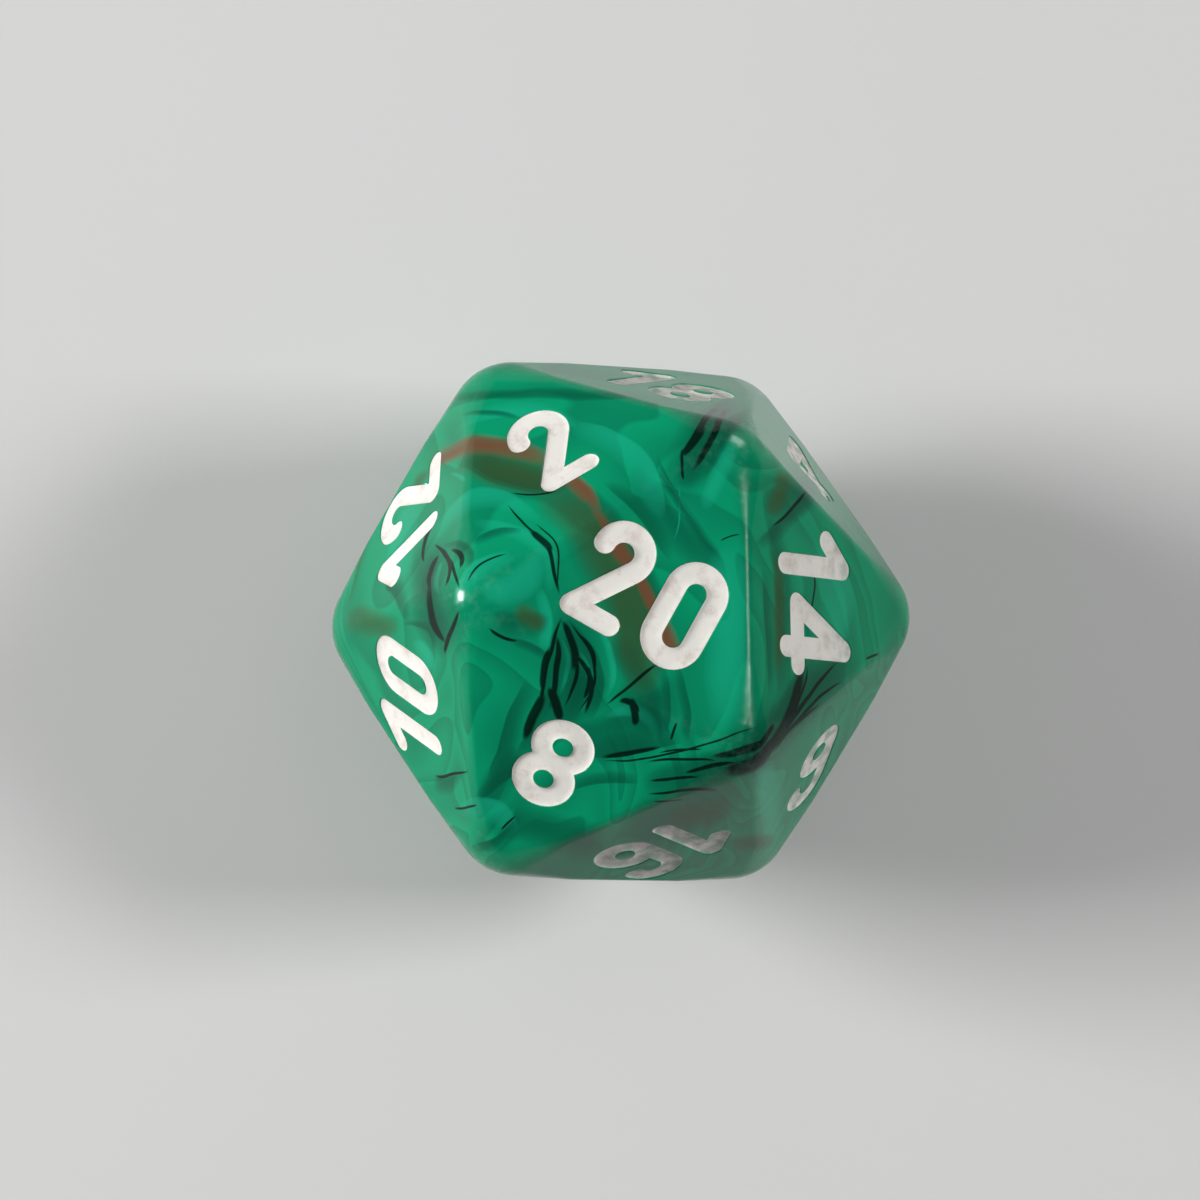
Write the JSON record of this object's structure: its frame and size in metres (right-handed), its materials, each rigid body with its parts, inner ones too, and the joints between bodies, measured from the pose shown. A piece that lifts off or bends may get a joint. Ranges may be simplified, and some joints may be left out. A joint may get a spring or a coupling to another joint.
{
  "type": "polyhedral die",
  "caption": "Polyhedral gaming die, an icosahedron with rounded edges, in swirled green plastic with white paint in the engraved numeral of every face.",
  "frame": {"origin": "middle of the die, halfway between every pair of opposite faces", "axes": "+Z out of the middle of face 20, so the die rests on face 1; +X towards the corner shared by faces 14, 6, 4, 9 and 11; +Y completes a right-handed frame, towards the edge between faces 2 and 18"},
  "size_m": [0.0234, 0.0212, 0.02],
  "materials": {
    "swirled_plastic": "polished moulded plastic, green with dark and brown swirls, slightly translucent",
    "numeral_paint": "off-white paint, dried matte and a little worn"
  },
  "bodies": {
    "root": {"die_body": "swirled_plastic", "face_01_digit": "numeral_paint", "face_02_digit": "numeral_paint", "face_03_digit": "numeral_paint", "face_04_digit": "numeral_paint", "face_05_digit": "numeral_paint", "face_06_digit": "numeral_paint", "face_06_underline": "numeral_paint", "face_07_digit": "numeral_paint", "face_08_digit": "numeral_paint", "face_09_digit": "numeral_paint", "face_09_underline": "numeral_paint", "face_10_ones_digit": "numeral_paint", "face_10_tens_digit": "numeral_paint", "face_11_ones_digit": "numeral_paint", "face_11_tens_digit": "numeral_paint", "face_12_ones_digit": "numeral_paint", "face_12_tens_digit": "numeral_paint", "face_13_ones_digit": "numeral_paint", "face_13_tens_digit": "numeral_paint", "face_14_ones_digit": "numeral_paint", "face_14_tens_digit": "numeral_paint", "face_15_ones_digit": "numeral_paint", "face_15_tens_digit": "numeral_paint", "face_16_ones_digit": "numeral_paint", "face_16_tens_digit": "numeral_paint", "face_17_ones_digit": "numeral_paint", "face_17_tens_digit": "numeral_paint", "face_18_ones_digit": "numeral_paint", "face_18_tens_digit": "numeral_paint", "face_19_ones_digit": "numeral_paint", "face_19_tens_digit": "numeral_paint", "face_20_ones_digit": "numeral_paint", "face_20_tens_digit": "numeral_paint"}
  },
  "joints": []
}
